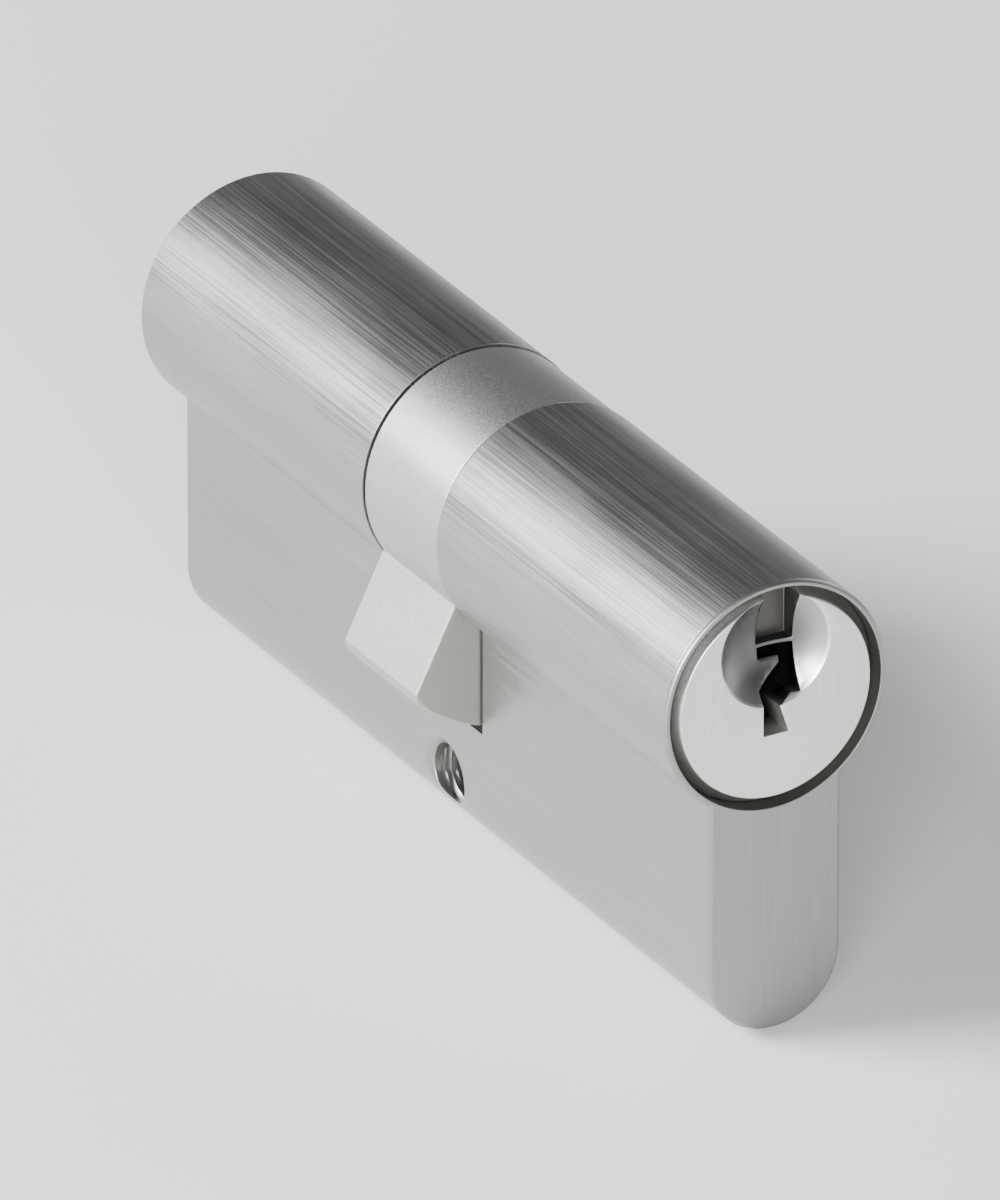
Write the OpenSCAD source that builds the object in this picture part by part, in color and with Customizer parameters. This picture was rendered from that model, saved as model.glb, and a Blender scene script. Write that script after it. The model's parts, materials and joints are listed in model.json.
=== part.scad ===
// Double euro-profile cylinder lock, keyed from both sides, in millimetres.
// Plug axis along Y, outside face towards -Y, web pointing down (-Z).
// The origin lies on the plug axis, in the plane of the fixing screw hole.

/* [Housing] */
// Length of the outside half, from the fixing screw plane to the outside face
outside_len = 35; // [35:5:60]
// Length of the inside half, from the fixing screw plane to the inside face
inside_len = 35; // [35:5:60]
// Diameter of the round head
head_d = 17; // [16.9:0.1:17.2]
// Width of the web below the head
web_w = 10; // [9.6:0.1:10]
// Height of the whole profile
total_h = 33; // [32.5:0.1:33.5]
// Chamfer around the edges of the two end faces
edge_chamfer = 0.2; // [0.1:0.05:0.3]

/* [Plugs] */
// Diameter of the plug barrel
barrel_d = 13; // [12.8:0.1:13]
// Diameter of the flange at the front of each plug
flange_d = 16; // [15.7:0.1:16]
// Diameter of the flat face left inside the flange's bevel
face_d = 14.4; // [14.2:0.1:14.6]
// Thickness of the flange
flange_t = 3; // [2.8:0.1:3.2]
// Radial running clearance of every turning or sliding piece
play = 0.05; // [0.02:0.01:0.08]

/* [Key opening] */
// Height of the dished key guide's centre above the plug axis
dish_z = 3.6; // [3.4:0.1:3.7]
// Rim diameter of the dished key guide
dish_d = 8.4; // [8:0.1:8.6]
// Depth of the dished key guide
dish_depth = 1.5; // [1.3:0.1:1.6]
// Depth of the square notch above the keyway
notch_depth = 2.3; // [2.1:0.1:2.4]

/* [Pins and springs] */
// Diameter of the pin chambers
chamber_d = 3; // [2.9:0.05:3.1]
// Distance from the face to the first pin
first_pin = 7; // [6.5:0.1:7.2]
// Distance from one pin to the next
pin_pitch = 4; // [3.8:0.1:4]
// Length of a driver pin
driver_len = 5; // [4.5:0.1:5.2]
// Outside diameter of a pin spring
spring_d = 2.5; // [2.3:0.05:2.7]
// Wire diameter of a pin spring
spring_wire = 0.3; // [0.2:0.05:0.4]

/* [Cam and clutch] */
// Width of the slot that the cam turns in
cam_slot_w = 10; // [9.9:0.05:10.2]
// Width of the cam
cam_w = 9.6; // [9.5:0.05:9.6]
// Radius that the tip of the cam's bit reaches
cam_reach = 15.1; // [14.8:0.1:15.2]
// Angle of the bit from straight down, with the keyway upright
cam_rest_angle = 30; // [20:5:45]
// Travel of the clutch pieces from one plug to the other
clutch_travel = 2.15; // [2.15:0.05:2.25]

/* [Hidden] */
$fn = 96;
// How far a cutting shape runs past the face that it cuts
overrun = 1;
pin_count = 5;
// Height of each key cut above the plug axis, from the face inwards
cut_z = [-0.8, -2.0, 0.4, -1.4, -0.2];
// Pins, counted from the face, that have a spool-shaped driver
spool_pins = [2, 4];

head_r = head_d / 2;
web_r = web_w / 2;
web_end_z = head_r - total_h + web_r;
web_bottom_z = head_r - total_h;

barrel_r = barrel_d / 2;
bore_r = barrel_r + play;
flange_r = flange_d / 2;
counterbore_r = flange_r + play;
counterbore_t = flange_t + play;
face_r = face_d / 2;
bevel_foot_r = flange_r - 0.15;
bevel_t = 1.2;
land_t = 1.35;

// The clip's groove and seat, as distances from the fixing screw plane
slot_y = cam_slot_w / 2;
clip_seat_y = slot_y + 1.3;
clip_seat_r = 7.4;
clip_outer_r = 7.2;
clip_t = 0.7;
clip_y = slot_y + 0.5;
clip_gap_deg = 70;
groove_depth = 0.7;
groove_r = barrel_r - groove_depth;
groove_y0 = clip_y - play;
groove_y1 = clip_y + clip_t + play;

// The cam's ring turns on the two plug noses
ring_r = 8.4;
nose_r = 4.9;
nose_end_y = 1.1;
barrel_end_y = slot_y + play;
cam_bore_r = nose_r + play;
relief_r = 6.4;
relief_y0 = 1.05;
relief_y1 = 3.4;
swing_gap = 0.5;
cam_swing_r = cam_reach + swing_gap;
bit_root_w = 8.4;
bit_tip_w = 6.6;
bit_corner = 0.8;

// The two clutch pieces
clutch_t = 2.8;
clutch_stem_r = 4.65;
clutch_head_r = 6.2;
clutch_head_y = 1;
clutch_stem_y = 4.2;
clutch_edge = 0.4;
pocket_w = clutch_t + 2 * play;
pocket_r = 4.8;
pocket_gap = 0.25;
pocket_end_y = clutch_stem_y + clutch_travel + pocket_gap;
notch_gap = 0.1;
notch_w = clutch_t + 2 * notch_gap;

// The key opening. The keyway is a zigzag slot, seen from the face
notch_left = -0.7;
notch_right = 1.95;
notch_z = 3.5;
dish_sphere_r = ((dish_d / 2) ^ 2 + dish_depth ^ 2) / (2 * dish_depth);
keyway = [
    [-0.6, 3.2], [1.95, 3.2], [1.95, 0], [1.3, 0], [0.35, -0.7], [1, -2.65],
    [-0.9, -2.65], [-0.9, 0.45], [0.95, 1.9], [0.95, 2.4], [-0.6, 2.4]
];
pin_hole_z = 0.7;
pin_hole_tip_z = 1.6;

// The pin stacks meet at the shear line, just outside and inside the barrel
chamber_r = chamber_d / 2;
pin_r = chamber_r - play;
key_pin_z = -barrel_r + 0.05;
driver_z = -barrel_r - 0.08;
pin_tip_r = 0.5;
pin_tip_h = pin_r - pin_tip_r;
// A key pin's foot is crowned, to stay inside the barrel's round
crown_r = 0.9;
crown_h = 0.03;
foot_edge_h = 0.25;
// A driver pin's edges, and the waist that makes it a spool
driver_edge = 0.2;
spool_rim_h = 1.1;
spool_slope_h = 0.3;
spool_waist_depth = 0.45;
chamber_plug_h = 2.2;
chamber_plug_inset = 0.3;
chamber_plug_gap = 0.01;
chamber_plug_z = web_bottom_z + chamber_plug_inset;
spring_seat_gap = 0.02;
spring_z0 = chamber_plug_z + chamber_plug_h + spring_seat_gap;
spring_z1 = driver_z - driver_len - spring_seat_gap;

// The fixing screw hole is threaded M5 and runs across the bridge
screw_z = -20;
screw_core_r = 2.1;
screw_mouth_r = 2.6;
screw_mouth_t = 0.4;

function numbered(name) = [for (i = [1:pin_count]) str(name, i)];

// A cylinder along Y from y0 to y1
module bar(r, y0, y1) {
    translate([0, y0, 0]) rotate([-90, 0, 0]) cylinder(h = y1 - y0, r = r);
}

// A shape turned about Y from points of radius and place along Y
module turned(points) {
    rotate([-90, 0, 0]) rotate_extrude() polygon(points);
}

// Everything belonging to the inside half is the outside half turned about Z
module inside() {
    rotate([0, 0, 180]) children();
}

function pin_y(len, i) = -len + first_pin + (i - 1) * pin_pitch;

// ---- Housing ----

// A bar with chamfered ends, lying along Y between the two end faces
module chamfered_bar(r) {
    turned([
        [0, -outside_len], [r - edge_chamfer, -outside_len], [r, -outside_len + edge_chamfer],
        [r, inside_len - edge_chamfer], [r - edge_chamfer, inside_len], [0, inside_len]
    ]);
}

module web_plate() {
    inner = web_r - edge_chamfer;
    front = -outside_len;
    back = inside_len;
    translate([0, 0, web_end_z]) linear_extrude(-web_end_z) polygon([
        [-inner, front], [inner, front], [web_r, front + edge_chamfer],
        [web_r, back - edge_chamfer], [inner, back], [-inner, back],
        [-web_r, back - edge_chamfer], [-web_r, front + edge_chamfer]
    ]);
}

module chamber_drillings(len) {
    depth = -bore_r - web_bottom_z + 2 * overrun;
    for (i = [1:pin_count]) {
        translate([0, pin_y(len, i), web_bottom_z - overrun]) cylinder(h = depth, r = chamber_r);
    }
}

module screw_hole() {
    translate([-web_r - overrun, 0, screw_z]) rotate([0, 90, 0])
        cylinder(h = web_w + 2 * overrun, r = screw_core_r);
    for (side = [-1, 1]) {
        translate([side * web_r, 0, screw_z]) rotate([0, -side * 90, 0])
            cylinder(h = screw_mouth_t, r1 = screw_mouth_r, r2 = screw_core_r);
    }
}

module housing() {
    color([0.74, 0.73, 0.71]) difference() {
        union() {
            chamfered_bar(head_r);
            translate([0, 0, web_end_z]) chamfered_bar(web_r);
            web_plate();
        }
        bar(bore_r, -outside_len - overrun, inside_len + overrun);
        bar(counterbore_r, -outside_len - overrun, -outside_len + counterbore_t);
        bar(counterbore_r, inside_len - counterbore_t, inside_len + overrun);
        bar(clip_seat_r, -clip_seat_y, clip_seat_y);
        bar(cam_swing_r, -slot_y, slot_y);
        chamber_drillings(outside_len);
        inside() chamber_drillings(inside_len);
        screw_hole();
    }
}

// ---- Plugs, drawn at the outside ----

module plug_blank(len) {
    turned([
        [0, -len], [face_r, -len], [bevel_foot_r, -len + bevel_t],
        [flange_r, -len + land_t], [flange_r, -len + flange_t], [barrel_r, -len + flange_t],
        [barrel_r, -groove_y1], [groove_r, -groove_y1], [groove_r, -groove_y0],
        [barrel_r, -groove_y0], [barrel_r, -barrel_end_y], [nose_r, -barrel_end_y],
        [nose_r, -nose_end_y], [0, -nose_end_y]
    ]);
}

module key_opening(len) {
    translate([0, -len - dish_sphere_r + dish_depth, dish_z]) sphere(r = dish_sphere_r);
    translate([notch_left, -len - overrun, notch_z])
        cube([notch_right - notch_left, notch_depth + overrun, flange_r]);
    translate([0, -nose_end_y, 0]) rotate([90, 0, 0]) linear_extrude(len) polygon(keyway);
}

module pin_holes(len) {
    for (i = [1:pin_count]) {
        translate([0, pin_y(len, i), -bore_r]) cylinder(h = bore_r + pin_hole_z, r = chamber_r);
        translate([0, pin_y(len, i), pin_hole_z])
            cylinder(h = pin_hole_tip_z - pin_hole_z, r1 = chamber_r, r2 = pin_tip_r);
    }
}

module clutch_pocket() {
    translate([-pocket_w / 2, -pocket_end_y, -pocket_r])
        cube([pocket_w, pocket_end_y, 2 * pocket_r]);
    translate([-pocket_w / 2, -barrel_end_y, -nose_r - overrun])
        cube([pocket_w, barrel_end_y, 2 * nose_r + 2 * overrun]);
}

module plug(len) {
    color([0.78, 0.77, 0.75]) difference() {
        plug_blank(len);
        key_opening(len);
        pin_holes(len);
        clutch_pocket();
    }
}

module retaining_clip() {
    color([0.35, 0.35, 0.36]) translate([0, -clip_y, 0]) rotate([90, 0, 0])
        linear_extrude(clip_t) difference() {
            circle(r = clip_outer_r);
            circle(r = groove_r + play);
            polygon([
                [0, 0], 2 * clip_outer_r * [sin(clip_gap_deg / 2), cos(clip_gap_deg / 2)],
                2 * clip_outer_r * [-sin(clip_gap_deg / 2), cos(clip_gap_deg / 2)]
            ]);
        }
}

// ---- Cam and clutch ----

// The bit tapers from the ring to a tip that follows the cam's reach
module bit_outline() {
    tip = cam_reach - bit_corner;
    intersection() {
        circle(r = cam_reach);
        polygon([
            [-bit_root_w / 2, 0], [bit_root_w / 2, 0], [bit_tip_w / 2, -tip],
            [bit_tip_w / 2 - bit_corner, -cam_reach], [-bit_tip_w / 2 + bit_corner, -cam_reach],
            [-bit_tip_w / 2, -tip]
        ]);
    }
}

module cam() {
    color([0.62, 0.61, 0.6]) difference() {
        union() {
            bar(ring_r, -cam_w / 2, cam_w / 2);
            rotate([0, cam_rest_angle, 0]) translate([0, cam_w / 2, 0]) rotate([90, 0, 0])
                linear_extrude(cam_w) bit_outline();
        }
        bar(cam_bore_r, -cam_w, cam_w);
        bar(relief_r, relief_y0, relief_y1);
        bar(relief_r, -relief_y1, -relief_y0);
        translate([-notch_w / 2, -cam_w, -relief_r]) cube([notch_w, 2 * cam_w, 2 * relief_r]);
    }
}

// A clutch piece as it stands when engaged in the cam from the outside
module coupling() {
    color([0.5, 0.47, 0.4]) intersection() {
        turned([
            [0, -clutch_stem_y], [clutch_stem_r - clutch_edge, -clutch_stem_y],
            [clutch_stem_r, -clutch_stem_y + clutch_edge], [clutch_stem_r, -clutch_head_y],
            [clutch_head_r, -clutch_head_y], [clutch_head_r, clutch_head_y], [0, clutch_head_y]
        ]);
        cube([clutch_t, 3 * clutch_stem_y, 3 * clutch_head_r], center = true);
    }
}

// ---- Pins, springs and chamber plugs, drawn at the outside ----

module key_pin(len, i) {
    tip_z = cut_z[i - 1];
    color([0.76, 0.6, 0.32]) translate([0, pin_y(len, i), 0]) rotate_extrude() polygon([
        [0, key_pin_z], [crown_r, key_pin_z + crown_h], [pin_r, key_pin_z + foot_edge_h],
        [pin_r, tip_z - pin_tip_h], [pin_tip_r, tip_z], [0, tip_z]
    ]);
}

function is_spool(i) = len([for (s = spool_pins) if (s == i) s]) > 0;

module driver_pin(len, i) {
    top = driver_z;
    foot = driver_z - driver_len;
    waist = pin_r - spool_waist_depth;
    spool = is_spool(i) ? [
        [pin_r, foot + spool_rim_h], [waist, foot + spool_rim_h + spool_slope_h],
        [waist, top - spool_rim_h - spool_slope_h], [pin_r, top - spool_rim_h]
    ] : [];
    color([0.7, 0.69, 0.66]) translate([0, pin_y(len, i), 0]) rotate_extrude() polygon(concat(
        [[0, foot], [pin_r - driver_edge, foot], [pin_r, foot + driver_edge]],
        spool,
        [[pin_r, top - driver_edge], [pin_r - driver_edge, top], [0, top]]
    ));
}

module pin_spring(len, i) {
    color([0.55, 0.56, 0.58]) translate([0, pin_y(len, i), spring_z0]) difference() {
        cylinder(h = spring_z1 - spring_z0, r = spring_d / 2);
        translate([0, 0, -overrun])
            cylinder(h = spring_z1 - spring_z0 + 2 * overrun, r = spring_d / 2 - spring_wire);
    }
}

module chamber_plugs(len) {
    color([0.72, 0.58, 0.33]) for (i = [1:pin_count]) {
        translate([0, pin_y(len, i), chamber_plug_z])
            cylinder(h = chamber_plug_h, r = chamber_r - chamber_plug_gap);
    }
}

// ---- The nodes ----

housing();
plug(outside_len);  // outside_plug
inside() plug(inside_len);  // inside_plug
retaining_clip();  // outside_retaining_clip
inside() retaining_clip();  // inside_retaining_clip
cam();
coupling();  // outside_coupling
translate([0, clutch_travel, 0]) inside() coupling();  // inside_coupling
chamber_plugs(outside_len);  // outside_chamber_plugs
inside() chamber_plugs(inside_len);  // inside_chamber_plugs
for (i = [1:pin_count]) {
    key_pin(outside_len, i);
    inside() key_pin(inside_len, i);
    driver_pin(outside_len, i);
    inside() driver_pin(inside_len, i);
    pin_spring(outside_len, i);
    inside() pin_spring(inside_len, i);
}
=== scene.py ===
"""A euro-profile lock cylinder: looks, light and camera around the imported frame."""

import json
import math

import bmesh
import bpy
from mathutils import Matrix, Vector


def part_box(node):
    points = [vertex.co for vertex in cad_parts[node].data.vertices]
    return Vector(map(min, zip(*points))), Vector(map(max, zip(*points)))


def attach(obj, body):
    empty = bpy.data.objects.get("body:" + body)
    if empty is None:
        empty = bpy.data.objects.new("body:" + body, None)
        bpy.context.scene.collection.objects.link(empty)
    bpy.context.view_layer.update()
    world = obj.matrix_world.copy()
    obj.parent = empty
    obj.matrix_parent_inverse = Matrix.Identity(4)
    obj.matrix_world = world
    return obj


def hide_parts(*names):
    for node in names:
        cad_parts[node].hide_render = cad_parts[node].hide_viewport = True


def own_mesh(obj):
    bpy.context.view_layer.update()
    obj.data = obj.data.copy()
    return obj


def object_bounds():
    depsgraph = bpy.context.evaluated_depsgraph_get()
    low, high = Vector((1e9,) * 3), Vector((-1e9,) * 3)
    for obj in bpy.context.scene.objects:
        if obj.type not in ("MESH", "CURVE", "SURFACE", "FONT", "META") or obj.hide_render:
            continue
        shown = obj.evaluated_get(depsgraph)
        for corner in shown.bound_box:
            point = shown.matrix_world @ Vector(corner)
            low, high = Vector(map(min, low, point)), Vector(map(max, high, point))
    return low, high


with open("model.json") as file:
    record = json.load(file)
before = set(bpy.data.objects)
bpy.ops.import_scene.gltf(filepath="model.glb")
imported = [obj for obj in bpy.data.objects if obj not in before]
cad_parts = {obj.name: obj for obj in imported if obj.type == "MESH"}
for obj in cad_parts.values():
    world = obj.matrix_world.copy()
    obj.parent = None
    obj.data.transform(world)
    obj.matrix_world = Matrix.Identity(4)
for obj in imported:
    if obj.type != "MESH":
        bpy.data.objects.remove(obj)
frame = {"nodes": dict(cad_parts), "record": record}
cad_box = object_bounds()
nodes = frame["nodes"]
slots = {s["node"]: s["material_slot"] for s in frame["record"]["subparts"]}

MM = 0.001
SIDES = ("outside", "inside")
PINS = 5

# ---- Surfaces where the finish and the painted shade change ----

# The end faces, then radii about the plug axis and depths below the nearer face
FACE_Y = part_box("housing")[1].y
FLANGE_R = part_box("outside_plug")[1].x
FLANGE_DEPTH = 3 * MM
FACE_R = 7.2 * MM
BARREL_R = 6.5 * MM
BARREL_END_DEPTH = 29.95 * MM
COUNTERBORE_R = FLANGE_R + 0.05 * MM
DISH_DEPTH = 1.5 * MM

# ---- Materials ----


class Graph:
    """One material's node tree, built by methods that return output sockets."""

    def __init__(self, name):
        self.material = bpy.data.materials.new(name)
        self.material.use_nodes = True
        self.tree = self.material.node_tree
        self.shader = self.tree.nodes["Principled BSDF"]
        coordinates = self.node("ShaderNodeTexCoord")
        self.place = coordinates.outputs["Object"]
        self.facing = coordinates.outputs["Normal"]

    def node(self, kind, **settings):
        made = self.tree.nodes.new(kind)
        for key, value in settings.items():
            setattr(made, key, value)
        return made

    def feed(self, socket, value):
        if isinstance(value, bpy.types.NodeSocket):
            self.tree.links.new(value, socket)
        else:
            socket.default_value = value

    def maths(self, operation, a, b=0.0, c=0.0):
        made = self.node("ShaderNodeMath", operation=operation)
        for socket, value in zip(made.inputs, (a, b, c)):
            self.feed(socket, value)
        return made.outputs[0]

    def times(self, a, b):
        return self.maths("MULTIPLY", a, b)

    def split(self, vector):
        made = self.node("ShaderNodeSeparateXYZ")
        self.feed(made.inputs[0], vector)
        return made.outputs

    def join(self, x, y, z):
        made = self.node("ShaderNodeCombineXYZ")
        for socket, value in zip(made.inputs, (x, y, z)):
            self.feed(socket, value)
        return made.outputs[0]

    def noise(self, per_metre, detail=2.0, place=None):
        """Noise with that many features per metre, the same all ways or along X, Y and Z."""
        scaled = self.node("ShaderNodeVectorMath", operation="MULTIPLY")
        self.feed(scaled.inputs[0], place or self.place)
        scale = per_metre if isinstance(per_metre, tuple) else (per_metre,) * 3
        scaled.inputs[1].default_value = scale
        made = self.node("ShaderNodeTexNoise")
        self.feed(made.inputs["Vector"], scaled.outputs[0])
        made.inputs["Scale"].default_value = 1
        made.inputs["Detail"].default_value = detail
        return made.outputs["Fac"]

    def ramp(self, value, low, high, to_low=0.0, to_high=1.0):
        """A smooth step from to_low, where value is low, to to_high, where it is high."""
        made = self.node("ShaderNodeMapRange", interpolation_type="SMOOTHSTEP")
        for socket, given in zip(made.inputs, (value, low, high, to_low, to_high)):
            self.feed(socket, given)
        return made.outputs[0]

    def spread(self, noise, low, high):
        """Noise, nearly all of which lies between 0.3 and 0.7, spread from low to high."""
        return self.ramp(noise, 0.3, 0.7, low, high)

    def mix(self, share, a, b):
        made = self.node("ShaderNodeMix")
        for socket, value in zip(made.inputs[:1] + made.inputs[2:4], (share, a, b)):
            self.feed(socket, value)
        return made.outputs[0]

    def mix_colour(self, share, a, b):
        made = self.node("ShaderNodeMix", data_type="RGBA")
        self.feed(made.inputs["Factor"], share)
        for socket, value in ((made.inputs[6], a), (made.inputs[7], b)):
            self.feed(socket, value if isinstance(value, bpy.types.NodeSocket) else (*value, 1))
        return made.outputs[2]

    def tint(self, share, colour, by):
        """The colour, darker by that much where share is 0 and lighter by it where share is 1."""
        dark = [c * (1 - by) for c in colour]
        light = [min(1, c * (1 + by)) for c in colour]
        return self.mix_colour(share, dark, light)

    def bump(self, height, strength, distance, normal=None):
        """A normal with that relief, on top of another normal where one is given."""
        made = self.node("ShaderNodeBump")
        self.feed(made.inputs["Height"], height)
        made.inputs["Strength"].default_value = strength
        made.inputs["Distance"].default_value = distance
        if normal:
            self.feed(made.inputs["Normal"], normal)
        return made.outputs[0]

    def radius(self):
        """Distance from the plug axis."""
        x, _, z = self.split(self.place)
        return self.maths("SQRT", self.maths("MULTIPLY_ADD", x, x, self.times(z, z)))

    def depth(self):
        """Depth below the nearer end face."""
        return self.maths("SUBTRACT", FACE_Y, self.maths("ABSOLUTE", self.split(self.place)[1]))

    def metal(self, colour, roughness, normal):
        """The finished material."""
        self.feed(self.shader.inputs["Base Color"], colour)
        self.feed(self.shader.inputs["Roughness"], roughness)
        self.feed(self.shader.inputs["Normal"], normal)
        self.shader.inputs["Metallic"].default_value = 1
        return self.material


def body_nickel():
    """Satin nickel plate: drawn lines along the sides, linished end faces, turned bores."""
    plate = (0.31, 0.307, 0.30)
    bright_line = (0.38, 0.376, 0.368)
    bore_wall = (0.36, 0.35, 0.335)
    g = Graph("satin_nickel_body")
    side_on = g.maths("ABSOLUTE", g.split(g.facing)[1])
    end_face = g.ramp(side_on, 0.6, 0.8)
    chamfer = g.times(g.ramp(side_on, 0.1, 0.3), g.ramp(side_on, 0.99, 0.9))
    bore = g.times(
        g.ramp(g.radius(), COUNTERBORE_R + 0.11 * MM, COUNTERBORE_R - 0.01 * MM),
        g.ramp(g.depth(), 0.02 * MM, 0.3 * MM),
    )
    drawn = g.noise((7000, 60, 7000), 3)
    linished = g.noise((9000, 9000, 160), 3)
    bored = g.noise((0, 6000, 0), 1)
    lines = g.mix(end_face, drawn, linished)
    lines = g.mix(bore, lines, bored)
    lines = g.mix(chamfer, lines, 0.5)
    patches = g.noise((140, 90, 140), 4)
    colour = g.tint(patches, plate, 0.08)
    colour = g.mix_colour(g.ramp(lines, 0.30, 0.72, 0, 0.6), colour, bright_line)
    colour = g.mix_colour(bore, colour, bore_wall)
    rough = g.maths("ADD", g.spread(lines, 0.30, 0.42), g.spread(patches, -0.02, 0.03))
    normal = g.bump(lines, 0.40, 0.010 * MM)
    normal = g.bump(g.noise(26000, 1), 0.10, 0.004 * MM, normal)
    return g.metal(colour, rough, normal)


def plug_nickel():
    """Brighter, fine-turned nickel, rougher in the groove and the keyway, with painted shade down
    the dish and in the groove and dark painted shade in the keyway.
    """
    face = (0.80, 0.79, 0.77)
    dull_ring = (0.74, 0.73, 0.71)
    # Painted shade: the dish is painted darker than the face at its rim and darker still down its
    # middle
    dish_rim_shade = (0.42, 0.415, 0.408)
    dish_middle_shade = (0.15, 0.148, 0.145)
    # Painted shade in the groove round the flange
    groove_shade = (0.36, 0.356, 0.35)
    # Painted shade, near black, deep in the keyway
    keyway_shade = (0.10, 0.096, 0.09)
    # Lighter painted shade on the keyway's walls where it opens into the face
    mouth_shade = (0.55, 0.54, 0.52)
    g = Graph("satin_nickel_plug")
    radius = g.radius()
    depth = g.depth()
    _, y, z = g.split(g.place)

    # Cut surfaces are the ones inside the flange's and the barrel's turned outsides
    outside_r = g.ramp(
        depth,
        FLANGE_DEPTH - 0.1 * MM,
        FLANGE_DEPTH + 0.1 * MM,
        FLANGE_R - 0.1 * MM,
        BARREL_R - 0.08 * MM,
    )
    cut = g.times(
        g.maths("LESS_THAN", radius, outside_r),
        g.ramp(depth, BARREL_END_DEPTH - 0.05 * MM, BARREL_END_DEPTH - 0.25 * MM),
    )
    dish = g.times(g.ramp(depth, 0.06 * MM, 0.2 * MM), cut)
    # How far down the dish the painted shade deepens towards its middle
    hollow_shade = g.ramp(depth, 0.2 * MM, DISH_DEPTH - 0.2 * MM)
    keyway = g.times(g.ramp(depth, DISH_DEPTH - 0.1 * MM, DISH_DEPTH + 0.7 * MM), cut)
    groove = g.times(
        g.ramp(radius, FACE_R, FACE_R + 0.15 * MM), g.ramp(depth, 0.05 * MM, 0.5 * MM)
    )
    dull = g.maths("MAXIMUM", groove, keyway)

    # Below the axis the keyway opens straight into the face; there its walls get a lighter grey
    # painted shade than deeper in
    foot = g.times(g.ramp(z, -0.3 * MM, -0.9 * MM), g.ramp(radius, 3.5 * MM, 3.2 * MM))
    mouth = g.times(foot, g.ramp(depth, 3.2 * MM, 0.6 * MM))
    mouth = g.times(mouth, g.ramp(depth, 0.02 * MM, 0.08 * MM))

    rings = g.noise((7500, 7500, 0), 2, g.join(radius, y, 0))
    patches = g.noise(260, 3)
    colour = g.tint(patches, face, 0.04)
    colour = g.mix_colour(g.ramp(rings, 0.35, 0.7, 0, 0.5), colour, dull_ring)
    # Painted shade over the dish
    dish_shade = g.mix_colour(hollow_shade, dish_rim_shade, dish_middle_shade)
    colour = g.mix_colour(dish, colour, dish_shade)
    # Painted shade in the groove
    colour = g.mix_colour(groove, colour, groove_shade)
    # Painted shade in the keyway
    colour = g.mix_colour(keyway, colour, keyway_shade)
    # Lighter painted shade at the keyway's mouth
    colour = g.mix_colour(mouth, colour, mouth_shade)
    rough = g.mix(dish, g.spread(rings, 0.27, 0.34), g.spread(patches, 0.30, 0.35))
    rough = g.maths("ADD", rough, g.times(dull, 0.15))
    rough = g.mix(mouth, rough, 0.6)
    marked = g.maths("SUBTRACT", 1.0, dish)
    normal = g.bump(g.times(rings, marked), 0.30, 0.008 * MM)
    normal = g.bump(g.times(g.noise(30000, 1), marked), 0.08, 0.003 * MM, normal)
    g.shader.inputs["Anisotropic"].default_value = 0.35
    tangent = g.node("ShaderNodeTangent", direction_type="RADIAL", axis="Y")
    g.feed(g.shader.inputs["Tangent"], tangent.outputs[0])
    return g.metal(colour, rough, normal)


def cam_nickel():
    """Nickel over pressed and sintered steel: a fine open grain under the plate."""
    plate = (0.47, 0.462, 0.445)
    pore = (0.25, 0.24, 0.23)
    g = Graph("nickelled_steel_cam")
    grain = g.noise(8000, 3)
    patches = g.noise(200, 3)
    pores = g.ramp(g.noise(9000, 1), 0.66, 0.74)
    colour = g.mix_colour(g.times(pores, 0.5), g.tint(patches, plate, 0.08), pore)
    normal = g.bump(grain, 0.12, 0.008 * MM)
    normal = g.bump(pores, 0.2, -0.006 * MM, normal)
    return g.metal(colour, g.spread(grain, 0.36, 0.46), normal)


def turned_metal(name, colour, stain, rough):
    """A small piece turned about Z, with rings up its side and soft stains."""
    g = Graph(name)
    rings = g.noise((0, 0, 9000), 1)
    patches = g.noise(900, 3)
    stained = g.ramp(g.noise(500, 2), 0.52, 0.75, 0, 0.55)
    tone = g.mix_colour(stained, g.tint(patches, colour, 0.06), stain)
    turned_rough = g.spread(rings, rough - 0.04, rough + 0.05)
    roughness = g.maths("ADD", turned_rough, g.times(stained, 0.12))
    return g.metal(tone, roughness, g.bump(rings, 0.25, 0.008 * MM))


def filed_brass():
    """Brass plugs pressed into the chambers and filed flush along the web."""
    brass = (0.70, 0.54, 0.29)
    stain = (0.42, 0.30, 0.16)
    g = Graph("chamber_plug_brass")
    filed = g.noise((8000, 250, 8000), 2)
    patches = g.noise(700, 3)
    colour = g.tint(patches, brass, 0.08)
    colour = g.mix_colour(g.ramp(patches, 0.55, 0.8, 0, 0.5), colour, stain)
    return g.metal(colour, g.spread(filed, 0.30, 0.42), g.bump(filed, 0.35, 0.012 * MM))


def dark_steel(name, colour, rough, grains_per_metre):
    """Blackened or oiled steel with a mottled surface."""
    g = Graph(name)
    mottle = g.noise(grains_per_metre, 4)
    patches = g.noise(400, 3)
    rubbed = [c * 1.5 for c in colour]
    tone = g.tint(mottle, colour, 0.22)
    tone = g.mix_colour(g.ramp(patches, 0.5, 0.8, 0, 0.4), tone, rubbed)
    roughness = g.spread(mottle, rough - 0.06, rough + 0.08)
    return g.metal(tone, roughness, g.bump(mottle, 0.3, 0.01 * MM))


def spring_wire():
    """Bright drawn wire with faint patches of heat tint."""
    wire = (0.60, 0.60, 0.60)
    straw = (0.50, 0.46, 0.38)
    g = Graph("spring_steel")
    bands = g.noise(2500, 2)
    patches = g.noise(350, 2)
    colour = g.tint(bands, wire, 0.10)
    colour = g.mix_colour(g.ramp(patches, 0.5, 0.75, 0, 0.35), colour, straw)
    return g.metal(colour, g.spread(bands, 0.24, 0.34), g.bump(bands, 0.15, 0.006 * MM))


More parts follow.
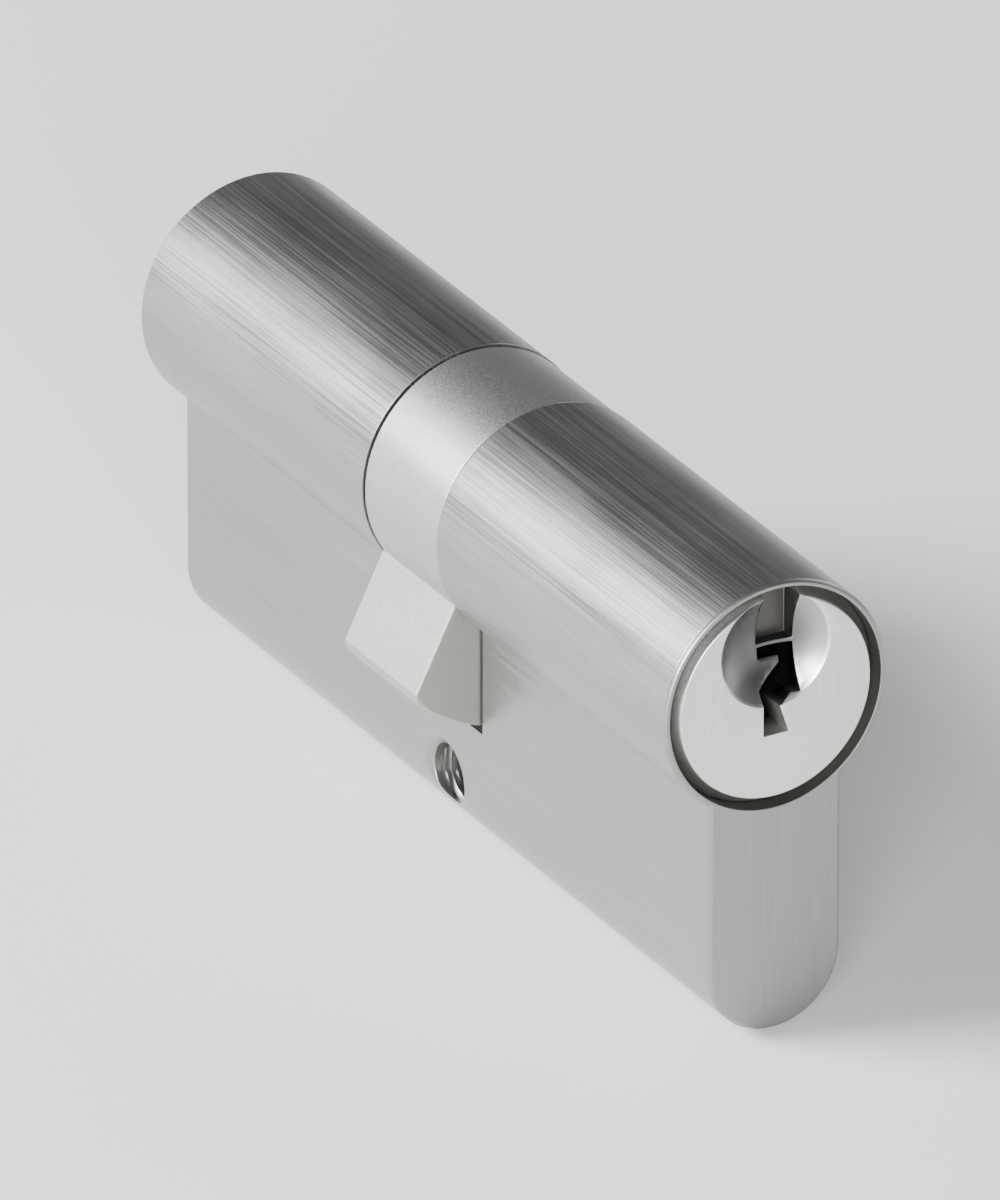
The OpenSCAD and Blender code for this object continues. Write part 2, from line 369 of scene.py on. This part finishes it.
MATERIALS = {
    "satin_nickel_body": body_nickel(),
    "satin_nickel_plug": plug_nickel(),
    "nickelled_steel_cam": cam_nickel(),
    "sintered_steel": dark_steel("sintered_steel", (0.36, 0.34, 0.31), 0.40, 4500),
    "black_spring_steel": dark_steel("black_spring_steel", (0.10, 0.10, 0.105), 0.45, 3000),
    "spring_steel": spring_wire(),
    "pin_brass": turned_metal("pin_brass", (0.72, 0.55, 0.28), (0.48, 0.33, 0.16), 0.26),
    "nickel_silver": turned_metal("nickel_silver", (0.66, 0.64, 0.58), (0.46, 0.43, 0.37), 0.25),
    "chamber_plug_brass": filed_brass(),
}

# ---- Meshes and edges ----

SHARP = math.radians(20)
WELD = 0.002 * MM
EDGE_WIDTHS = {
    "housing": 0.05 * MM,
    "plug": 0.05 * MM,
    "cam": 0.12 * MM,
    "coupling": 0.05 * MM,
    "clip": 0.08 * MM,
    "pin": 0.04 * MM,
}


def paint(obj, slot):
    obj.data.materials.clear()
    obj.data.materials.append(MATERIALS[slot])


def shade(mesh, sharp=SHARP):
    for polygon in mesh.polygons:
        polygon.use_smooth = True
    mesh.set_sharp_from_angle(angle=sharp)


def flatten_faces(obj):
    """Keeps flat faces looking flat beside their rounded edges."""
    obj.modifiers.new("flat_faces", "WEIGHTED_NORMAL").keep_sharp = True


def soften_node(node, width):
    """Keeps a CAD node as it is and rounds its sharp edges with modifiers."""
    custom = node.data.attributes.get("custom_normal")
    if custom:
        node.data.attributes.remove(custom)
    shade(node.data)
    node.modifiers.new("weld", "WELD").merge_threshold = WELD
    bevel = node.modifiers.new("soft_edges", "BEVEL")
    bevel.limit_method = "ANGLE"
    bevel.angle_limit = SHARP
    bevel.width = width
    bevel.segments = 2
    bevel.use_clamp_overlap = False
    flatten_faces(node)


def circle(steps):
    """Angles evenly round a circle."""
    return [2 * math.pi * j / steps for j in range(steps)]


def skin(bm, rings):
    """Joins each ring of points to the next one with faces."""
    for a, b in zip(rings, rings[1:]):
        for j in range(len(a)):
            k = (j + 1) % len(a)
            bm.faces.new((a[j], a[k], b[k], b[j]))


def rod(bm, rings):
    """A skin closed with a face at each end."""
    skin(bm, rings)
    bm.faces.new(rings[0])
    bm.faces.new(reversed(rings[-1]))


def made_from(bm, name):
    """An object of that name with the bmesh's shape."""
    mesh = bpy.data.meshes.new(name)
    bm.to_mesh(mesh)
    bm.free()
    obj = bpy.data.objects.new(name, mesh)
    bpy.context.scene.collection.objects.link(obj)
    return obj


def stand_in_for(obj, node):
    """Shows a piece in place of a CAD node that rides in the housing."""
    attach(obj, "housing")
    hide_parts(node)
    paint(obj, slots[node])


# ---- The housing, with a real M5 thread in its fixing hole ----

SCREW_Z = frame["record"]["mounts"][0]["pos_m"][2]
THREAD_PITCH = 0.8 * MM
THREAD_ROOT_R = 2.5 * MM
THREAD_CORE_R = 2.06 * MM
# Half the groove's width at its mouth, in pitches, and the share of its sharp depth that is cut
FLANK_REACH = 0.42
ROOT_FLAT = 0.88
# Past THREAD_END from the middle, the groove's radius shrinks at this slope
THREAD_END = 3.85 * MM
RUN_OUT = 1.5
# Half the cutter's length, which reaches past the web's two sides
CUTTER_HALF = 6.4 * MM


def thread_r(x, turn):
    """The cutter's radius at x, that many turns round its axis."""
    phase = (x / THREAD_PITCH - turn) % 1
    flank = 1 - abs(phase - 0.5) / FLANK_REACH
    height = min(ROOT_FLAT, max(0, flank)) / ROOT_FLAT
    cut_r = THREAD_CORE_R + (THREAD_ROOT_R - THREAD_CORE_R) * height
    widest = THREAD_ROOT_R + RUN_OUT * (THREAD_END - abs(x))
    return min(cut_r, max(THREAD_CORE_R, widest))


def screw_cutter():
    """A screw-shaped solid along X, whose core is thinner than the hole that it threads."""
    turn_steps = 48
    pitch_steps = 8
    rows = round(2 * CUTTER_HALF / THREAD_PITCH * pitch_steps)
    bm = bmesh.new()
    rings = []
    for i in range(rows + 1):
        x = -CUTTER_HALF + 2 * CUTTER_HALF * i / rows
        ring = []
        for j, a in enumerate(circle(turn_steps)):
            r = thread_r(x, j / turn_steps)
            ring.append(bm.verts.new((x, r * math.cos(a), SCREW_Z + r * math.sin(a))))
        rings.append(ring)
    rod(bm, rings)
    bmesh.ops.recalc_face_normals(bm, faces=bm.faces)
    return made_from(bm, "screw_cutter")


def threaded_housing():
    """A copy of the housing with softened edges and the thread cut into it."""
    flat = math.radians(0.3)
    width = EDGE_WIDTHS["housing"]
    bm = bmesh.new()
    bm.from_mesh(nodes["housing"].data)
    bmesh.ops.remove_doubles(bm, verts=bm.verts, dist=WELD)
    bmesh.ops.dissolve_limit(
        bm, angle_limit=flat, verts=bm.verts, edges=bm.edges, delimit={"NORMAL"}
    )
    sharp = [e for e in bm.edges if e.calc_face_angle(0) > SHARP]
    bmesh.ops.bevel(
        bm, geom=sharp, offset=width, offset_type="OFFSET", segments=2, profile=0.5, affect="EDGES"
    )
    obj = made_from(bm, "threaded_housing")
    cutter = screw_cutter()
    thread = obj.modifiers.new("thread", "BOOLEAN")
    thread.operation = "DIFFERENCE"
    thread.solver = "EXACT"
    thread.object = cutter
    threaded = obj.evaluated_get(bpy.context.evaluated_depsgraph_get())
    mesh = bpy.data.meshes.new_from_object(threaded)
    obj.modifiers.clear()
    obj.data = mesh
    bpy.data.objects.remove(cutter)
    shade(mesh)
    flatten_faces(obj)
    return obj


# ---- Pin springs ----

SPRING_WIRE_R = 0.15 * MM
SPRING_TURNS = 14
WIRE_SHARP = math.radians(60)


def coil(name, node):
    """A compression spring with closed, ground ends, filling the box of the CAD's plain tube."""
    lo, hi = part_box(node)
    x = (lo.x + hi.x) / 2
    y = (lo.y + hi.y) / 2
    coil_r = (hi.x - lo.x) / 2 - SPRING_WIRE_R
    closed_pitch = 2 * SPRING_WIRE_R
    open_turns = SPRING_TURNS - 2
    open_pitch = (hi.z - lo.z - 2 * closed_pitch) / open_turns
    turn_steps = 18
    wire_steps = 8
    bm = bmesh.new()
    rings = []
    for i in range(SPRING_TURNS * turn_steps + 1):
        turn = i / turn_steps
        opened = min(max(turn - 1, 0), open_turns)
        z = lo.z + (turn - opened) * closed_pitch + opened * open_pitch
        a = 2 * math.pi * turn
        ring = []
        for b in circle(wire_steps):
            r = coil_r + SPRING_WIRE_R * math.cos(b)
            ground_z = min(max(z + SPRING_WIRE_R * math.sin(b), lo.z), hi.z)
            ring.append(bm.verts.new((x + r * math.cos(a), y + r * math.sin(a), ground_z)))
        rings.append(ring)
    rod(bm, rings)
    bmesh.ops.recalc_face_normals(bm, faces=bm.faces)
    obj = made_from(bm, name)
    shade(obj.data, WIRE_SHARP)
    return obj


def fit_spring(side, pin):
    """A coil for that pin's spring, riding in the housing with a mesh of its own."""
    node = f"{side}_pin_spring_{pin}"
    spring = coil(f"{side}_coil_{pin}", node)
    stand_in_for(spring, node)
    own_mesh(spring)


# ---- Chamber plugs ----

# Outline in millimetres: the punch mark's radii and heights above the lower end, then how
# far the points of each edge lie in from the side and from the end
PUNCH_MARK = ((0, 0.22), (0.3, 0.2), (0.52, 0.03), (0.6, 0))
LOWER_EDGE = ((0.14, 0), (0.04, 0.04), (0, 0.14))
UPPER_EDGE = ((0, 0.1), (0.1, 0))


def turned(bm, y, profile):
    """A solid turned about a vertical line at y, from (radius, height) points that end on it."""
    steps = 48
    rings = []
    for r, z in profile[1:-1]:
        points = [(r * math.cos(a), y + r * math.sin(a), z) for a in circle(steps)]
        rings.append([bm.verts.new(point) for point in points])
    skin(bm, rings)
    for ring, (_, z) in ((rings[0], profile[0]), (rings[-1], profile[-1])):
        tip = bm.verts.new((0, y, z))
        for j in range(steps):
            bm.faces.new((tip, ring[j], ring[(j + 1) % steps]))


def chamber_plugs(name, node):
    """A plug for each pin, with broken edges and the mark of the punch that set it."""
    lo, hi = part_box(node)
    r = (hi.x - lo.x) / 2
    pitch = (hi.y - lo.y - 2 * r) / (PINS - 1)
    profile = [(mark * MM, lo.z + rise * MM) for mark, rise in PUNCH_MARK]
    profile += [(r - inset * MM, lo.z + rise * MM) for inset, rise in LOWER_EDGE]
    profile += [(r - inset * MM, hi.z - drop * MM) for inset, drop in UPPER_EDGE]
    profile.append((0, hi.z))
    bm = bmesh.new()
    for i in range(PINS):
        turned(bm, lo.y + r + i * pitch, profile)
    bmesh.ops.recalc_face_normals(bm, faces=bm.faces)
    obj = made_from(bm, name)
    shade(obj.data)
    return obj


# ---- The pieces that stand in, and the CAD nodes that stay ----

stand_in_for(threaded_housing(), "housing")
for side in SIDES:
    plugs = f"{side}_chamber_plugs"
    stand_in_for(chamber_plugs(f"{side}_pressed_plugs", plugs), plugs)
    for pin in range(1, PINS + 1):
        fit_spring(side, pin)

for name, obj in nodes.items():
    if obj.hide_render:
        continue
    kind = next(k for k in EDGE_WIDTHS if k in name)
    soften_node(obj, EDGE_WIDTHS[kind])
    paint(obj, slots[name])

# ---- Floor, camera and light ----

CENTRE = (cad_box[0] + cad_box[1]) / 2
CAMERA_AZIMUTH = math.radians(-30)
CAMERA_ELEVATION = math.radians(27)
CAMERA_DISTANCE = 2.4
CAMERA_LENS_MM = 1080


def aimed(name, data, place):
    """A camera or light at that place, pointed at the object's centre."""
    obj = bpy.data.objects.new(name, data)
    obj.location = place
    obj.rotation_mode = "QUATERNION"
    obj.rotation_quaternion = (CENTRE - Vector(place)).to_track_quat("-Z", "Y")
    bpy.context.scene.collection.objects.link(obj)
    return obj


def area(name, place, size, power):
    light = bpy.data.lights.new(name, "AREA")
    light.shape = "RECTANGLE"
    light.size = size[0]
    light.size_y = size[1]
    light.energy = power
    aimed(name, light, place)


bpy.ops.mesh.primitive_plane_add(size=12, location=(0, 0, cad_box[0].z))
floor = bpy.context.object
floor.name = "floor"
pale = Graph("floor")
pale.shader.inputs["Base Color"].default_value = (0.78, 0.78, 0.77, 1)
pale.shader.inputs["Roughness"].default_value = 0.7
floor.data.materials.append(pale.material)

camera = bpy.data.cameras.new("camera")
camera.lens = CAMERA_LENS_MM
camera.clip_start = 0.1
camera.clip_end = 20
towards_camera = Vector((
    math.sin(CAMERA_AZIMUTH) * math.cos(CAMERA_ELEVATION),
    -math.cos(CAMERA_AZIMUTH) * math.cos(CAMERA_ELEVATION),
    math.sin(CAMERA_ELEVATION),
))
camera_place = CENTRE + towards_camera * CAMERA_DISTANCE
bpy.context.scene.camera = aimed("camera", camera, camera_place)

area("key", place=(-0.50, 0.26, 0.34), size=(0.35, 0.35), power=14)
area("front", place=(-0.30, -0.52, 0.17), size=(0.36, 0.22), power=6.5)
area("fill", place=(0.60, 0.10, 0.28), size=(0.5, 0.4), power=1.6)

world = bpy.data.worlds.new("world")
bpy.context.scene.world = world
world.use_nodes = True
sky = world.node_tree.nodes["Background"]
sky.inputs["Color"].default_value = (0.94, 0.96, 1.0, 1)
sky.inputs["Strength"].default_value = 0.17
